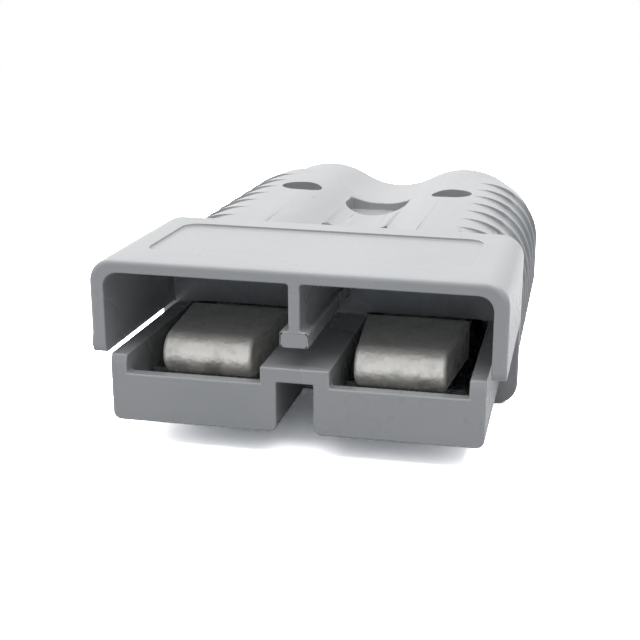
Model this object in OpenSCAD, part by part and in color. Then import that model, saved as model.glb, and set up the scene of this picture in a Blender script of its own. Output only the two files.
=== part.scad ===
// Genderless two-pole power connector: one moulded housing, two silver-plated
// contacts with crimp barrels, and the two leaf springs that lift the contacts.
// The mating plane is halfway up the body. Whatever stands above it at the
// front (the hood) fits round whatever lies below it (the tray) on an equal
// connector that is turned over.

/* [Body] */
// Length of the housing, front of the hood to the cable end
length = 79.4; // [74:0.1:86]
// Width over the hood
hood_w = 54; // [52:0.1:57]
// Overall height, over the crests of the two barrels
height = 25.4; // [24.6:0.1:27]
// Distance between the two poles
pole_pitch = 25.8; // [24.6:0.1:26.6]
// Depth of the groove between the two barrels
valley_depth = 3.4; // [2.6:0.1:4.2]

/* [Hood] */
// Depth of the open hood, front edge to shoulder
hood_depth = 25; // [22:0.1:28]
// Thickness of the hood's roof
roof_t = 1.8; // [1.5:0.1:2.2]
// Thickness of the hood's side walls
hood_wall = 1.95; // [1.6:0.05:2.2]
// Outer corner radius of the hood
hood_r = 3.2; // [2.4:0.1:4]
// Inner corner radius of the hood
hood_inner_r = 2; // [1:0.1:2.6]
// Thickness of the shoulder flange behind the hood
flange_t = 1.3; // [1:0.1:2]

/* [Key rib under the roof] */
// Thickness of the rib's web
key_web = 1.5; // [1.2:0.1:2]
// Width of the rib's foot
key_foot_w = 3.85; // [3.4:0.05:4.2]
// Height of the rib's foot
key_foot_h = 2.2; // [1.6:0.1:2.6]
// Height of the foot above the mating plane
key_foot_z = 2.5; // [2.4:0.05:3]
// Corner radius of the foot, and of the fillets on the web
key_r = 0.4; // [0.2:0.05:0.5]

/* [Tray] */
// Thickness of the tray's outer walls
tray_wall = 2.15; // [1.8:0.05:2.4]
// Depth of the tray below the mating plane
tray_depth = 9.1; // [8.6:0.1:9.8]
// Thickness of the tray's floor
tray_floor = 1.6; // [1.2:0.1:2]
// Thickness of the front lip
lip_t = 1.7; // [1.4:0.1:2.2]
// Distance of the lip's top below the mating plane
lip_drop = 2.55; // [2.2:0.05:3]
// Width of the bridge between the two pockets
bridge_w = 9.1; // [8.4:0.1:9.6]
// Thickness of the bridge
bridge_t = 2; // [1.8:0.05:2.1]
// Outer corner radius along the tray's bottom
tray_r = 1.1; // [0.6:0.1:2.4]
// Corner radius at the mouth of the key channel
channel_r = 1; // [0.3:0.1:1.2]
// Height of the lead-in on the ends of the side walls
lead_h = 1.2; // [0.8:0.1:1.5]
// Depth of the lead-in on the ends of the side walls
lead_d = 0.4; // [0.2:0.05:0.6]
// Clearance between two mated housings
mate_gap = 0.25; // [0.2:0.05:0.35]

/* [Finger grips] */
// Number of grip ribs on each side
grip_n = 7; // [5:1:8]
// Length of each grip rib
grip_pitch = 5.9; // [5:0.1:6]
// Height of each grip rib
grip_h = 1; // [0.6:0.1:1.3]
// Corner radius of the ribbed body
grip_r = 9.5; // [8:0.1:10.5]
// How far the ribs stand out past the hood
grip_proud = 0.1; // [0:0.05:0.4]
// Distance from the flange to the first rib
grip_start = 3.3; // [2:0.1:4]

/* [Openings] */
// Diameter of the cable entries
entry_d = 17; // [15:0.1:17.6]
// Radius on the rim of the cable end
rear_edge_r = 1.2; // [0.6:0.1:1.6]
// Diameter of the inspection holes over the crimp barrels
sight_d = 6.8; // [5.5:0.1:7.5]
// Distance of the inspection holes from the front
sight_y = 54.6; // [52:0.1:57]
// Width of the half-round well in the groove
well_w = 10.4; // [8.4:0.1:11]
// Length of the half-round well
well_l = 10; // [8:0.1:11]
// Distance of the well's square end from the front
well_end = 59.5; // [58:0.1:61]
// Depth of the well below the groove
well_drop = 1.4; // [0.8:0.1:2]
// Width of the square well behind the hood
seat_w = 9.8; // [8:0.1:10.4]
// Depth of the square well below the groove
seat_drop = 2; // [1:0.1:2.5]
// Distance of the square well's far end from the front
seat_end = 38.6; // [36:0.1:41]

/* [Label field] */
// Width of the sunk label field
label_w = 43.4; // [38:0.1:45]
// Length of the sunk label field
label_l = 16.6; // [14:0.1:18]
// Depth of the sunk label field
label_deep = 0.35; // [0.2:0.05:0.5]
// Distance from the label field to the shoulder
label_back = 2.6; // [2:0.1:3.4]

/* [Contacts] */
// Width of each contact at the nose, and of its tongue
contact_w = 12.1; // [11.4:0.1:12.7]
// Width of the contact's head at its rear step
head_w = 14.8; // [13.6:0.1:15.2]
// How far an unmated contact stands above the mating plane
contact_lift = 1.7; // [1.2:0.1:2]
// Thickness of the contact's head
head_t = 5.8; // [5:0.1:6]
// Distance of the nose from the front of the tray
nose_y = 3.7; // [3.2:0.1:4.4]
// Distance of the head's rear step from the front of the tray
head_end = 19.2; // [17:0.1:21]
// Thickness of the tongue behind the head
tongue_t = 3.4; // [3:0.1:3.8]
// Outer diameter of the crimp barrel
barrel_d = 14; // [13.4:0.1:14.6]
// Inner diameter of the crimp barrel
barrel_bore = 11.2; // [10.4:0.1:11.6]
// Length of the crimp barrel
barrel_l = 19; // [16:0.1:21]
// Distance of the crimp barrel's open end from the cable end
barrel_back = 12; // [10:0.1:14]
// Clearance round the contact in the housing
contact_gap = 0.4; // [0.3:0.05:0.6]

/* [Springs] */
// Thickness of the spring leaf
leaf_t = 0.6; // [0.5:0.05:0.8]
// Distance of the leaf's front edge from the front of the tray
leaf_y = 8; // [7:0.1:9]
// Length of the leaf
leaf_l = 29; // [26:0.1:30]
// Clearance of the leaf under the contact and over the floor
leaf_gap = 0.3; // [0.25:0.05:0.4]
// Clearance beside the leaf
leaf_side_gap = 0.3; // [0.2:0.05:0.5]

/* [Hidden] */
$fn = 72;
cut = 1;
half_h = height / 2;
pole = pole_pitch / 2;
hood_half = hood_w / 2;
hood_in = hood_half - hood_wall;
tray_half = hood_in - 2 * mate_gap;
pocket_out = tray_half - tray_wall;
pocket_in = bridge_w / 2;
channel_half = key_foot_w / 2 + 2 * mate_gap;
plane_gap = mate_gap / 5;
bridge_top = -mate_gap;
floor_top = -tray_depth + tray_floor;
flange_end = hood_depth + flange_t;
grip_y0 = flange_end + grip_start;
grip_side = hood_half + grip_proud;
grip_angle = atan(grip_h / grip_pitch);
core_side = grip_side - grip_h - 0.2;
grip_end = grip_y0 + grip_n * grip_pitch;
valley_z = half_h - valley_depth;
valley_r = (pow(pole, 2) + pow(valley_z, 2) - pow(half_h, 2)) / (2 * (half_h - valley_z));
blend = half_h / (half_h + valley_r);
blend_x = pole * (1 - blend);
blend_z = (valley_z + valley_r) * blend;
barrel_end = length - barrel_back;
barrel_start = barrel_end - barrel_l;
entry_l = barrel_back - contact_gap;
way_half = barrel_d / 2 + contact_gap;
nose_r = head_t / 2;
nose_end = nose_y + nose_r;
head_bottom = contact_lift - head_t;
tongue_top = plane_gap - contact_gap;
tongue_bottom = tongue_top - tongue_t;
wedge_l = 1.6 * (barrel_d - tongue_t) / 2;
tongue_end = barrel_start - wedge_l;
wedge_half = barrel_d / 2 + cut;
leaf_mid = leaf_y + leaf_l / 2;
leaf_low = floor_top + leaf_gap;
leaf_top = min(head_bottom, tongue_bottom) - leaf_gap;
leaf_sag = leaf_top - leaf_low - leaf_t;
leaf_r = (pow(leaf_l / 2, 2) + pow(leaf_sag, 2)) / (2 * leaf_sag);

// A profile drawn in X and Z, pushed back along Y from y0 to y1.
module along(y0, y1) {
    translate([0, y1, 0]) rotate([90, 0, 0]) linear_extrude(y1 - y0) children();
}

// A profile drawn in Y and Z, pushed sideways along X from x0 to x1.
module across(x0, x1) {
    translate([x0, 0, 0]) rotate([90, 0, 90]) linear_extrude(x1 - x0) children();
}

// A block given by its two corners.
module block(a, b) {
    translate(a) cube(b - a);
}

// The same thing on both poles.
module both() {
    children();
    mirror([1, 0, 0]) children();
}

// A rectangle with round corners, centred.
module round_rect(w, h, r) {
    square([w - 2 * r, h], center = true);
    square([w, h - 2 * r], center = true);
    for (x = [-1, 1], y = [-1, 1]) {
        translate([x * (w / 2 - r), y * (h / 2 - r)]) circle(r);
    }
}

// What lies outside a round of radius r in the corner of two straight sides.
module spandrel(r) {
    difference() {
        translate([-cut, -cut]) square(r + cut);
        translate([r, r]) circle(r);
    }
}

// The same, but only inside the two sides: a fillet.
module fillet(r) {
    difference() {
        square(r);
        translate([r, r]) circle(r);
    }
}

// Outer quarter of the ribbed body: flat crest, round corner, flat side.
module flank(side) {
    translate([0, -half_h]) square([side - grip_r, height]);
    translate([0, -half_h + grip_r]) square([side, height - 2 * grip_r]);
    for (z = [-1, 1]) {
        translate([side - grip_r, z * (half_h - grip_r)]) circle(grip_r);
    }
}

// Web between the barrels, hollowed into the groove.
module web_profile() {
    difference() {
        square([2 * blend_x, 2 * blend_z], center = true);
        for (z = [-1, 1]) translate([0, z * (valley_z + valley_r)]) circle(valley_r);
    }
}

// Ribbed part of the body, from the flange to the rear collar.
module grip_body() {
    along(hood_depth, grip_end) {
        web_profile();
        for (s = [-1, 1]) translate([s * pole, 0]) circle(half_h);
    }
    both() along(hood_depth, grip_end) intersection() {
        flank(core_side);
        translate([pole, -half_h]) square([core_side, height]);
    }
    both() for (i = [0 : grip_n - 1]) grip_rib(grip_y0 + i * grip_pitch);
}

// One grip rib: a step that faces forwards and slopes back to the root.
module grip_rib(y) {
    intersection() {
        block([pole, y, -half_h - cut], [grip_side + cut, y + grip_pitch, half_h + cut]);
        translate([grip_side, y, 0]) rotate([0, 0, grip_angle])
            along(-grip_pitch, 2 * grip_pitch)
                translate([-grip_side, 0]) flank(grip_side);
    }
}

// Plain round collar at the cable end, with a rounded rim.
module rear_collar() {
    along(grip_end - cut, length - rear_edge_r) web_profile();
    both() translate([pole, length, 0]) rotate([90, 0, 0]) rotate_extrude() {
        translate([0, rear_edge_r]) square([half_h, length - grip_end]);
        square([half_h - rear_edge_r, rear_edge_r + cut]);
        translate([half_h - rear_edge_r, rear_edge_r]) circle(rear_edge_r);
    }
}

// Shoulder flange that an equal connector's hood butts against.
module flange() {
    along(hood_depth, flange_end) round_rect(hood_w, height, hood_r);
}

// Hood: roof and two side walls, open at the front and below.
module hood() {
    difference() {
        along(0, hood_depth + cut) round_rect(hood_w, height, hood_r);
        along(-cut, hood_depth) {
            translate([0, half_h - roof_t - height / 2])
                round_rect(2 * hood_in, height, hood_inner_r);
        }
        block([-hood_w, -cut, -height], [hood_w, hood_depth, plane_gap]);
        across(-hood_w, hood_w) lead_in(plane_gap);
    }
}

// Slope on the front end of a side wall that ends at the height z; it faces
// up or down, as the wall's end does.
module lead_in(z) {
    way = sign(z);
    polygon([[0, z + way * lead_h], [lead_d, z], [lead_d, z - way * cut],
        [-cut, z - way * cut], [-cut, z + way * lead_h]]);
}

// Key rib: a web down from the roof with a wider foot, filleted into both.
module key_rib() {
    roof = half_h - roof_t;
    foot_top = key_foot_z + key_foot_h;
    along(0, hood_depth + cut) {
        translate([-key_web / 2, key_foot_z + key_foot_h / 2]) square([key_web, roof - key_foot_z]);
        translate([0, key_foot_z + key_foot_h / 2]) round_rect(key_foot_w, key_foot_h, key_r);
        for (side = [0, 1]) mirror([side, 0]) {
            translate([key_web / 2, foot_top]) fillet(key_r);
            translate([key_web / 2, roof]) mirror([0, 1]) fillet(key_r);
        }
    }
}

// Tray: the lower half of the front, without its pockets.
module tray() {
    difference() {
        along(0, hood_depth + cut) difference() {
            translate([-tray_half, -tray_depth]) square([2 * tray_half, tray_depth - plane_gap]);
            for (side = [0, 1]) mirror([side, 0]) {
                translate([-tray_half, -tray_depth]) spandrel(tray_r);
                translate([channel_half, -tray_depth]) spandrel(channel_r);
            }
        }
        block([-pocket_in - cut / 2, -cut, bridge_top], [pocket_in + cut / 2, hood_depth, cut]);
        block([-channel_half, -cut, -tray_depth - cut], [channel_half, hood_depth, bridge_top - bridge_t]);
        both() across(pocket_out, tray_half + cut) lead_in(-plane_gap);
    }
}

// Space cut out of the housing for one contact and its spring.
module pocket() {
    block([pocket_in, lip_t, floor_top], [pocket_out, leaf_y + leaf_l + cut, plane_gap]);
    block([pocket_in, -cut, -lip_drop], [pocket_out, lip_t + cut, plane_gap]);
}

// Way for one contact through the body, under the shoulder's edge, and the
// cable entry behind it.
module contact_way() {
    block([pole - way_half, hood_depth - cut, floor_top],
        [pole + way_half, barrel_start + cut, plane_gap]);
    translate([pole, length + cut, 0]) rotate([90, 0, 0]) {
        cylinder(d = entry_d, h = entry_l + cut);
        cylinder(r = way_half, h = length + cut - tongue_end + contact_gap);
    }
    translate([pole, sight_y, 0]) cylinder(d = sight_d, h = height);
}

// Wells in the groove: a half-round one between the barrels, above and below,
// and a square one that starts at the flange, above only.
module wells() {
    r = well_w / 2;
    for (side = [0, 1]) mirror([0, 0, side])
        translate([0, well_end - well_l + r, valley_z - well_drop]) {
            cylinder(r = r, h = half_h);
            translate([-r, 0, 0]) cube([well_w, well_l - r, half_h]);
        }
    block([-seat_w / 2, flange_end, valley_z - seat_drop], [seat_w / 2, seat_end, height]);
}

// Sunk field for a label on the hood's roof, left bare.
module label_field() {
    r = 2.4;
    translate([0, hood_depth - label_back - label_l / 2, half_h - label_deep])
        linear_extrude(label_deep + cut) round_rect(label_w, label_l, r);
}

// The one-piece moulded housing.
module housing_solid() {
    difference() {
        union() {
            grip_body();
            rear_collar();
            flange();
            hood();
            key_rib();
            tray();
        }
        both() pocket();
        both() contact_way();
        wells();
        label_field();
    }
}

// One contact: round nose, thick head that widens to its rear step, thin
// tongue under the shoulder's edge, and crimp barrel.
module contact_solid() {
    intersection() {
        across(pole - head_w / 2, pole + head_w / 2) {
            translate([nose_end, contact_lift - nose_r]) circle(nose_r);
            translate([nose_end, head_bottom]) square([head_end - nose_end, head_t]);
        }
        translate([pole, 0, head_bottom]) linear_extrude(head_t) polygon([
            [-contact_w / 2, 0], [contact_w / 2, 0], [contact_w / 2, nose_end], [head_w / 2, head_end],
            [-head_w / 2, head_end], [-contact_w / 2, nose_end]]);
    }
    block([pole - contact_w / 2, head_end - cut, tongue_bottom],
        [pole + contact_w / 2, tongue_end + cut, tongue_top]);
    difference() {
        intersection() {
            translate([pole, barrel_end, 0]) rotate([90, 0, 0])
                cylinder(d = barrel_d, h = barrel_end - tongue_end + cut);
            across(pole - barrel_d, pole + barrel_d)
                polygon([[tongue_end, tongue_bottom], [tongue_end, tongue_top],
                    [barrel_start, wedge_half], [barrel_end + cut, wedge_half],
                    [barrel_end + cut, -wedge_half], [barrel_start, -wedge_half]]);
        }
        translate([pole, barrel_end + cut, 0]) rotate([90, 0, 0])
            cylinder(d = barrel_bore, h = barrel_l + cut);
    }
}

// One leaf spring: a bowed strip with its middle on the pocket floor, its front
// end under the contact's head and its rear end under the tongue.
module spring_solid() {
    across(pocket_in + leaf_side_gap, pocket_out - leaf_side_gap) intersection() {
        translate([leaf_mid, leaf_low + leaf_t + leaf_r]) difference() {
            circle(leaf_r + leaf_t, $fn = 360);
            circle(leaf_r, $fn = 360);
        }
        translate([leaf_y, leaf_low]) square([leaf_l, leaf_top - leaf_low]);
    }
}

// Stands the connector on its underside, centred.
module place() {
    translate([0, -length / 2, half_h]) children();
}

module housing() {
    color([0.52, 0.53, 0.54]) place() housing_solid();
}

module contact_left() {
    color([0.72, 0.71, 0.68]) place() mirror([1, 0, 0]) contact_solid();
}

module contact_right() {
    color([0.72, 0.71, 0.68]) place() contact_solid();
}

module spring_left() {
    color([0.60, 0.62, 0.65]) place() mirror([1, 0, 0]) spring_solid();
}

module spring_right() {
    color([0.60, 0.62, 0.65]) place() spring_solid();
}

housing();
contact_left();
contact_right();
spring_left();
spring_right();
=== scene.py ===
from math import radians

import bmesh
import bpy
from mathutils import Matrix, Vector
from mathutils.kdtree import KDTree


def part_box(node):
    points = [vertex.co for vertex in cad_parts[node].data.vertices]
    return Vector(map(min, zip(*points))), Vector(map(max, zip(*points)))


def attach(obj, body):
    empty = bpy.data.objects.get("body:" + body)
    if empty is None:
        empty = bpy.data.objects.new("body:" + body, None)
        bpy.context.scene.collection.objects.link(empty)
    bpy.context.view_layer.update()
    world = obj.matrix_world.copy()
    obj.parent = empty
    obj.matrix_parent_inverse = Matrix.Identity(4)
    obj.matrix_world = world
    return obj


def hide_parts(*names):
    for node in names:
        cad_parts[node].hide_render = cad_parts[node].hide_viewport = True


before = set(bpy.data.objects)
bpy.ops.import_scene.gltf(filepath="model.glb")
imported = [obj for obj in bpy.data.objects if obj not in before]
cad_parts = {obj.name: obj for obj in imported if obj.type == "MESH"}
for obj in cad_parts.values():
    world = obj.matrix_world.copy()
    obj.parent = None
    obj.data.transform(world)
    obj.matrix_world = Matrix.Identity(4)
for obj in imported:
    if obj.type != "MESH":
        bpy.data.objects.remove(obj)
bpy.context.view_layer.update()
scene = bpy.context.scene
scene.view_settings.view_transform = "Standard"


# ---- Camera -----------------------------------------------------------------
# Stands low in front of the open hood, a little to the right, and looks down
# on it by about 16 degrees. The shift keeps the connector left of the middle.
def aimed(forward, up):
    """Rotation whose -Z looks along forward, with up as near to +Y as it can be."""
    forward = Vector(forward).normalized()
    right = forward.cross(Vector(up)).normalized()
    return Matrix((right, right.cross(forward), -forward)).transposed()


camera_data = bpy.data.cameras.new("front_camera")
camera_data.sensor_width = 36.0
camera_data.lens = 63.4
camera_data.shift_x = -0.1603
camera_data.shift_y = -0.0434
camera_data.clip_start = 0.01
camera = bpy.data.objects.new("front_camera", camera_data)
camera.matrix_world = (Matrix.Translation((0.03508, -0.17053, 0.06197))
                       @ aimed((-0.137, 0.951, -0.278), (-0.064, 0.271, 0.960)).to_4x4())
scene.collection.objects.link(camera)
scene.camera = camera


# ---- Floor ------------------------------------------------------------------
# A plain floor that keeps the connector's shadow. It looks white to the camera
# and in reflections, and throws only a little light back up at the connector.
FLOOR_HALF = 0.42
FLOOR_SOFT_LIGHT = (0.36, 0.36, 0.37, 1.0)
FLOOR_MIRRORED = (0.9, 0.9, 0.92, 1.0)
FLOOR_SEEN = (4.6, 4.6, 4.65, 1.0)


def seen_directly(tree):
    """Output that is 1 for what the camera, a reflection or glass sees, and 0 for soft light."""
    rays = tree.nodes.new("ShaderNodeLightPath")
    either = None
    for label in ("Is Camera Ray", "Is Glossy Ray", "Is Transmission Ray"):
        if either is None:
            either = rays.outputs[label]
            continue
        largest = tree.nodes.new("ShaderNodeMath")
        largest.operation = "MAXIMUM"
        tree.links.new(either, largest.inputs[0])
        tree.links.new(rays.outputs[label], largest.inputs[1])
        either = largest.outputs[0]
    return either


def tinted(tree, factor, first, second):
    """A colour between first and second; each is a colour or an output."""
    mix = tree.nodes.new("ShaderNodeMix")
    mix.data_type = "RGBA"
    for name, kind, value in (("Factor", "VALUE", factor), ("A", "RGBA", first), ("B", "RGBA", second)):
        place = next(i for i in mix.inputs if i.name == name and i.type == kind)
        if isinstance(value, bpy.types.NodeSocket):
            tree.links.new(value, place)
        else:
            place.default_value = value
    return next(o for o in mix.outputs if o.type == "RGBA")


floor_mesh = bpy.data.meshes.new("studio_floor")
floor_mesh.from_pydata([(x * FLOOR_HALF, y * FLOOR_HALF, 0.0)
                        for x, y in ((-1, -1), (1, -1), (1, 1), (-1, 1))], [], [(0, 1, 2, 3)])
floor = bpy.data.objects.new("studio_floor", floor_mesh)
scene.collection.objects.link(floor)

floor_paint = bpy.data.materials.new("white_floor")
floor_paint.use_nodes = True
tree = floor_paint.node_tree
tree.nodes.remove(tree.nodes["Principled BSDF"])
shader = tree.nodes.new("ShaderNodeBsdfDiffuse")
tree.links.new(shader.outputs["BSDF"], tree.nodes["Material Output"].inputs["Surface"])
rays = tree.nodes.new("ShaderNodeLightPath")
paint = tinted(tree, seen_directly(tree), FLOOR_SOFT_LIGHT, FLOOR_MIRRORED)
paint = tinted(tree, rays.outputs["Is Camera Ray"], paint, FLOOR_SEEN)
tree.links.new(paint, shader.inputs["Color"])
floor_mesh.materials.append(floor_paint)


# ---- Light ------------------------------------------------------------------
# A white surround for what the camera and the gloss see, dimmer towards the
# horizon for soft light, and three soft lamps: above, behind and in front.
DOME_HEIGHT = (0.15, 0.60)
DOME_LEVEL = (0.12, 0.60)
SURROUND_LEVEL = 1.0
AIM = Vector((0.0, 0.0, 0.012))
WHITE = (1.0, 1.0, 1.0)
LAMPS = (
    ("overhead_softbox", (0.0, 0.05, 0.90), (1.40, 1.40), 13.0, WHITE),
    ("rear_left_softbox", (-0.70, 0.50, 0.40), (0.50, 0.40), 2.5, WHITE),
    ("front_fill", (0.05, -0.60, 0.10), (0.60, 0.25), 0.25, (0.75, 0.88, 1.0)),
)


def ranged(tree, value, start, end=(0.0, 1.0)):
    """Maps a value from the start range to the end range, and stops at its ends."""
    node = tree.nodes.new("ShaderNodeMapRange")
    tree.links.new(value, node.inputs["Value"])
    for label, number in zip(("From Min", "From Max", "To Min", "To Max"), (*start, *end)):
        node.inputs[label].default_value = number
    return node.outputs["Result"]


surround = bpy.data.worlds.new("white_surround")
scene.world = surround
surround.use_nodes = True
tree = surround.node_tree
look = tree.nodes.new("ShaderNodeTexCoord")
height = tree.nodes.new("ShaderNodeSeparateXYZ")
tree.links.new(look.outputs["Generated"], height.inputs["Vector"])
level = tree.nodes.new("ShaderNodeMix")
tree.links.new(seen_directly(tree), level.inputs["Factor"])
tree.links.new(ranged(tree, height.outputs["Z"], DOME_HEIGHT, DOME_LEVEL), level.inputs["A"])
level.inputs["B"].default_value = SURROUND_LEVEL
background = tree.nodes["Background"]
tree.links.new(level.outputs["Result"], background.inputs["Strength"])
background.inputs["Color"].default_value = (*WHITE, 1.0)

for name, place, size, power, tint in LAMPS:
    lamp_data = bpy.data.lights.new(name, "AREA")
    lamp_data.shape = "RECTANGLE"
    lamp_data.size, lamp_data.size_y = size
    lamp_data.energy = power
    lamp_data.color = tint
    lamp = bpy.data.objects.new(name, lamp_data)
    place = Vector(place)
    lamp.matrix_world = Matrix.Translation(place) @ aimed(AIM - place, (0.0, 0.1, 1.0)).to_4x4()
    scene.collection.objects.link(lamp)


# ---- Housing ----------------------------------------------------------------
# One moulding of grey polycarbonate: hood, tray, ribbed grips and collar in a
# single shot. The mould leaves most outer edges with a small radius, and leaves
# the thin ends of the ribs and the inspection holes crisp.
MM = 0.001
EDGE_R = 0.25 * MM
RIM_R = 0.75 * MM
SLIT_R = 0.06 * MM
LABEL_R = 0.1 * MM
low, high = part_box("housing")
FRONT = low[1]
PLANE = (low[2] + high[2]) / 2
HOOD_HALF = 27.0 * MM
HOOD_R = 3.2 * MM
SLIT_X = 24.8 * MM
LABEL_HALF = 22.0 * MM
LABEL_BACK = FRONT + 23.0 * MM
SIGHT_Y = FRONT + 54.6 * MM
SIGHT_X = (8.0 * MM, 16.4 * MM)
RIBS_Y = (FRONT + 29.4 * MM, FRONT + 71.5 * MM)
RIBS_X = 14.0 * MM

WELD = 2e-6
COPLANAR = radians(0.05)
SHARP = radians(28.0)
TOO_POINTED = radians(30.0)
SPLIT = 1.2 * MM
SMALLEST_R = 0.05 * MM
SHARE_OF_ROOM = 0.45
TOUCHING = 1e-7


def housing_radius(middle, along):
    """Radius of a housing edge with this middle and direction, or None for the usual one."""
    across, above = abs(middle.x), middle.z - PLANE
    corner = Vector((across - HOOD_HALF + HOOD_R, 0.0, middle.z - high[2] + HOOD_R))
    on_rim = (middle.z > high[2] - 0.9 * MM or across > HOOD_HALF - 1.0 * MM
              or min(corner.x, corner.z) > 0.0 and corner.length > HOOD_R - 0.3 * MM)
    if middle.y < FRONT + 0.01 * MM and above > 2.0 * MM and on_rim:
        return RIM_R
    if abs(along.y) > 0.9 and abs(across - SLIT_X) < 0.4 * MM and abs(above) < 0.2 * MM:
        return SLIT_R
    if middle.z > high[2] - 0.5 * MM and across < LABEL_HALF and middle.y < LABEL_BACK:
        return LABEL_R
    if abs(above) > 11.0 * MM and SIGHT_X[0] < across < SIGHT_X[1] and abs(middle.y - SIGHT_Y) < 4.0 * MM:
        return 0.0
    if RIBS_Y[0] < middle.y < RIBS_Y[1] and abs(above) > 10.6 * MM and across > RIBS_X:
        return 0.0
    return None


def fitting_radius(work, tree, spots, e, radius):
    """The radius, or less where another edge lies beside edge e, or 0 at a pointed corner."""
    corners = [corner for loop in e.link_loops for corner in (loop, loop.link_loop_next)]
    if min(corner.calc_angle() for corner in corners) < TOO_POINTED:
        return 0.0
    a, b = (v.co for v in e.verts)
    along = (b - a).normalized()
    for here, is_end in ((a, True), ((a + b) / 2, False), (b, True)):
        near = tree.find_range(here, 2.3 * radius + SPLIT / 2)
        for other in {j for _, i, _ in near for j in spots[i][1]} - {e.index}:
            c, d = (v.co for v in work.edges[other].verts)
            t = max(0.0, min(1.0, (here - c).dot(d - c) / (d - c).length_squared))
            away = c + (d - c) * t - here
            if away.length < TOUCHING and is_end:
                continue
            if abs(away.dot(along)) <= 0.75 * away.length:
                radius = min(radius, SHARE_OF_ROOM * away.length)
    return radius


def softened(node, piece_name, radius, segments, own_radius):
    """A joined copy of a CAD node's mesh with rounded edges. An edge gets the radius that
    own_radius(middle, along) gives, or else radius, as far as there is room for it."""
    work = bmesh.new()
    work.from_mesh(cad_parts[node].data)
    bmesh.ops.remove_doubles(work, verts=work.verts, dist=WELD)
    bmesh.ops.dissolve_limit(work, angle_limit=COPLANAR, verts=work.verts, edges=work.edges)
    for e in [e for e in work.edges if e.calc_face_angle(0.0) > SHARP]:
        pieces = int(e.calc_length() / SPLIT)
        if pieces > 1:
            bmesh.ops.subdivide_edges(work, edges=[e], cuts=pieces - 1)
    work.edges.index_update()
    work.edges.ensure_lookup_table()
    spots = [(v.co.copy(), [e.index for e in v.link_edges]) for v in work.verts]
    spots += [((e.verts[0].co + e.verts[1].co) / 2, [e.index]) for e in work.edges]
    tree = KDTree(len(spots))
    for i, (spot, _) in enumerate(spots):
        tree.insert(spot, i)
    tree.balance()
    radii = []
    for e in work.edges:
        is_sharp = e.calc_face_angle(0.0) > SHARP
        fitting = 0.0
        if is_sharp:
            a, b = (v.co for v in e.verts)
            own = own_radius((a + b) / 2, (b - a).normalized())
            fitting = fitting_radius(work, tree, spots, e, radius if own is None else own)
        if fitting < SMALLEST_R:
            fitting = 0.0
            e.smooth = not is_sharp
        radii.append(fitting)
    for face in work.faces:
        face.smooth = True
    mesh = bpy.data.meshes.new(piece_name)
    work.to_mesh(mesh)
    work.free()
    weight = mesh.attributes.new("bevel_weight_edge", "FLOAT", "EDGE")
    widest = max(radii)
    weight.data.foreach_set("value", [r / widest for r in radii])
    piece = bpy.data.objects.new(piece_name, mesh)
    scene.collection.objects.link(piece)
    bevel = piece.modifiers.new("rounded_edges", "BEVEL")
    bevel.width = widest
    bevel.segments = segments
    bevel.limit_method = "WEIGHT"
    bevel.use_clamp_overlap = False
    bevel.loop_slide = False
    flats = piece.modifiers.new("flat_faces_stay_flat", "WEIGHTED_NORMAL")
    flats.mode = "FACE_AREA_WITH_ANGLE"
    flats.thresh = 0.01
    flats.keep_sharp = True
    piece.data = bpy.data.meshes.new_from_object(piece.evaluated_get(bpy.context.evaluated_depsgraph_get()))
    piece.data.name = piece_name
    piece.modifiers.clear()
    bpy.data.meshes.remove(mesh)
    return piece


def added(tree, kind, **values):
    """Adds a node. A value is an output to link, an input's value, or a setting of the node."""
    node = tree.nodes.new(kind)
    for key, value in values.items():
        target = key.replace("_", " ").title()
        if isinstance(value, bpy.types.NodeSocket):
            tree.links.new(value, node.inputs[target])
        elif target in node.inputs:
            node.inputs[target].default_value = value
        else:
            setattr(node, key, value)
    return node


def noise(tree, vector, scale, detail=3.0, kept=(0.35, 0.65)):
    """A noise value; the kept part of its range is stretched to 0 to 1."""
    cloud = added(tree, "ShaderNodeTexNoise", vector=vector, scale=scale, detail=detail)
    return ranged(tree, cloud.outputs["Fac"], kept)


def surface_group(name, inputs, outputs):
    """An empty shader group with named values in and out. Returns it with the place on
    the object, its inputs and its outputs."""
    group = bpy.data.node_groups.new(name, "ShaderNodeTree")
    for label, value in inputs.items():
        socket = group.interface.new_socket(name=label, in_out="INPUT", socket_type="NodeSocketFloat")
        socket.default_value = value
    for label in outputs:
        group.interface.new_socket(name=label, in_out="OUTPUT", socket_type="NodeSocketFloat")
    place = group.nodes.new("ShaderNodeTexCoord").outputs["Object"]
    return group, place, group.nodes.new("NodeGroupInput").outputs, group.nodes.new("NodeGroupOutput").inputs


def surfaced(name, group, metallic=0.0):
    """A new material that holds the group. Returns it with its tree, shader and the group's outputs."""
    material = bpy.data.materials.new(name)
    material.use_nodes = True
    shader = material.node_tree.nodes["Principled BSDF"]
    shader.inputs["Metallic"].default_value = metallic
    marks = added(material.node_tree, "ShaderNodeGroup", node_tree=group)
    return material, material.node_tree, shader.inputs, marks.outputs


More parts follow.
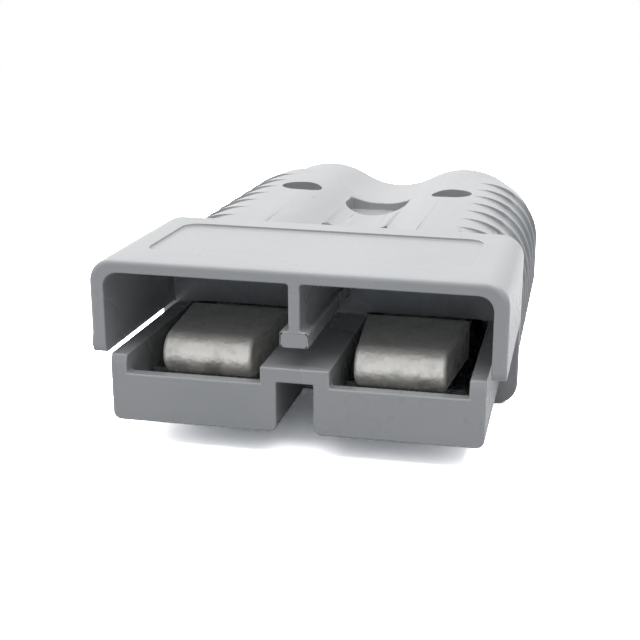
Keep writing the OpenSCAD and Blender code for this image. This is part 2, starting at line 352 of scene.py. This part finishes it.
tree, place, taken, given = surface_group(
    "moulded_grain_and_painted_highlight", {"Cloud Scale": 60.0, "Speck Scale": 700.0, "Grain Scale": 5200.0},
    ("Cloud", "Speck", "Grain", "Painted Edge Highlight"))
grain = tree
tree.links.new(noise(tree, place, taken["Cloud Scale"]), given["Cloud"])
tree.links.new(noise(tree, place, taken["Speck Scale"], 1.0, (0.80, 0.86)), given["Speck"])
tree.links.new(noise(tree, place, taken["Grain Scale"], 2.0, (0.3, 0.7)), given["Grain"])
# This edge mask is 1 where the rounded bevel normal bends away from the true normal; the housing uses it to
# paint a highlight along its edges.
rounded = added(tree, "ShaderNodeBevel", radius=0.45 * MM, samples=4)
plain = tree.nodes.new("ShaderNodeNewGeometry")
agree = added(tree, "ShaderNodeVectorMath", operation="DOT_PRODUCT")
tree.links.new(rounded.outputs["Normal"], agree.inputs[0])
tree.links.new(plain.outputs["True Normal"], agree.inputs[1])
tree.links.new(ranged(tree, agree.outputs["Value"], (0.995, 0.85)), given["Painted Edge Highlight"])

housing = softened("housing", "moulded_housing", EDGE_R, 3, housing_radius)
plastic, tree, shader, marks = surfaced("grey_polycarbonate", grain)
base = tinted(tree, marks["Cloud"], (0.345, 0.356, 0.366, 1.0), (0.372, 0.381, 0.390, 1.0))
# Painted highlight: the base colour is made lighter along the rounded edges.
base = tinted(tree, marks["Painted Edge Highlight"], base, (0.44, 0.45, 0.455, 1.0))
base = tinted(tree, marks["Speck"], base, (0.16, 0.165, 0.17, 1.0))
tree.links.new(base, shader["Base Color"])
tree.links.new(ranged(tree, marks["Cloud"], (0.0, 1.0), (0.23, 0.29)), shader["Roughness"])
bump = added(tree, "ShaderNodeBump", height=marks["Grain"], strength=0.12, distance=0.02 * MM)
tree.links.new(bump.outputs["Normal"], shader["Normal"])
housing.data.materials.append(plastic)
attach(housing, "root")
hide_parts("housing")


# ---- Contacts ---------------------------------------------------------------
# Two contacts of silver-plated copper, each one forging with a crimp barrel.
# They are pushed in from the cable end. Their colour is painted lighter low
# down and darker higher up: painted light from the bright floor in front and
# painted shade under the hood roof. Handling leaves smudges and fine pits in
# the soft plating.
HEAD_R = 0.6 * MM
BARREL_R = 0.15 * MM
HEAD_END = FRONT + 19.1 * MM
# Heights between which the contact's colour goes from darker above to lighter below: painted light and
# shade, set by height alone.
PAINTED_LIGHT_FROM, PAINTED_LIGHT_FULL = 14.2 * MM, 11.4 * MM


def contact_radius(middle, along):
    """Only the head, which a mating contact slides over, is well rounded."""
    return HEAD_R if middle.y < HEAD_END else None


tree, place, taken, given = surface_group(
    "handled_plate_and_painted_light", {"Smudge Scale": 330.0, "Pit Scale": 1500.0}, ("Smudge", "Pit", "Painted Light Below"))
plated = tree
height = added(tree, "ShaderNodeSeparateXYZ", vector=place)
tree.links.new(noise(tree, place, taken["Smudge Scale"], 6.0, (0.48, 0.66)), given["Smudge"])
tree.links.new(noise(tree, place, taken["Pit Scale"], 4.0, (0.30, 0.70)), given["Pit"])
tree.links.new(ranged(tree, height.outputs["Z"], (PAINTED_LIGHT_FROM, PAINTED_LIGHT_FULL)), given["Painted Light Below"])

silver, tree, shader, marks = surfaced("silver_plate", plated, 0.30)
# Painted light and shade: lighter low down, where the floor in front lights the contact, and darker higher
# up, under the hood roof.
base = tinted(tree, marks["Painted Light Below"], (0.60, 0.59, 0.56, 1.0), (0.93, 0.90, 0.84, 1.0))
base = tinted(tree, marks["Smudge"], base, (0.56, 0.55, 0.52, 1.0))
tree.links.new(base, shader["Base Color"])
tree.links.new(ranged(tree, marks["Pit"], (0.0, 1.0), (0.34, 0.52)), shader["Roughness"])
bump = added(tree, "ShaderNodeBump", height=marks["Pit"], strength=0.5, distance=0.12 * MM)
tree.links.new(bump.outputs["Normal"], shader["Normal"])
for side in ("left", "right"):
    contact = softened("contact_" + side, "plated_contact_" + side, BARREL_R, 4, contact_radius)
    contact.data.materials.append(silver)
    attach(contact, "root")
    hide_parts("contact_" + side)


# ---- Springs ----------------------------------------------------------------
# Two leaf springs of rolled stainless strip, cut and bent to a bow. Each lies
# loose on the floor of its pocket and presses the contact above it up.
ROLLED_ALONG_Y = (1.0, 0.04, 1.0)
tree, place, taken, given = surface_group("rolled_strip", {"Line Scale": 900.0}, ("Line", "Stain"))
rolled = tree
stretch = added(tree, "ShaderNodeVectorMath", operation="MULTIPLY")
tree.links.new(place, stretch.inputs[0])
stretch.inputs[1].default_value = ROLLED_ALONG_Y
tree.links.new(noise(tree, stretch.outputs["Vector"], taken["Line Scale"], 2.0, (0.3, 0.7)), given["Line"])
tree.links.new(noise(tree, place, 220.0), given["Stain"])

steel, tree, shader, marks = surfaced("spring_steel", rolled, 1.0)
base = tinted(tree, marks["Stain"], (0.50, 0.51, 0.53, 1.0), (0.66, 0.67, 0.69, 1.0))
tree.links.new(base, shader["Base Color"])
tree.links.new(ranged(tree, marks["Line"], (0.0, 1.0), (0.20, 0.38)), shader["Roughness"])
bump = added(tree, "ShaderNodeBump", height=marks["Line"], strength=0.15, distance=0.01 * MM)
tree.links.new(bump.outputs["Normal"], shader["Normal"])
for side in ("left", "right"):
    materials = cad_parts["spring_" + side].data.materials
    materials.clear()
    materials.append(steel)
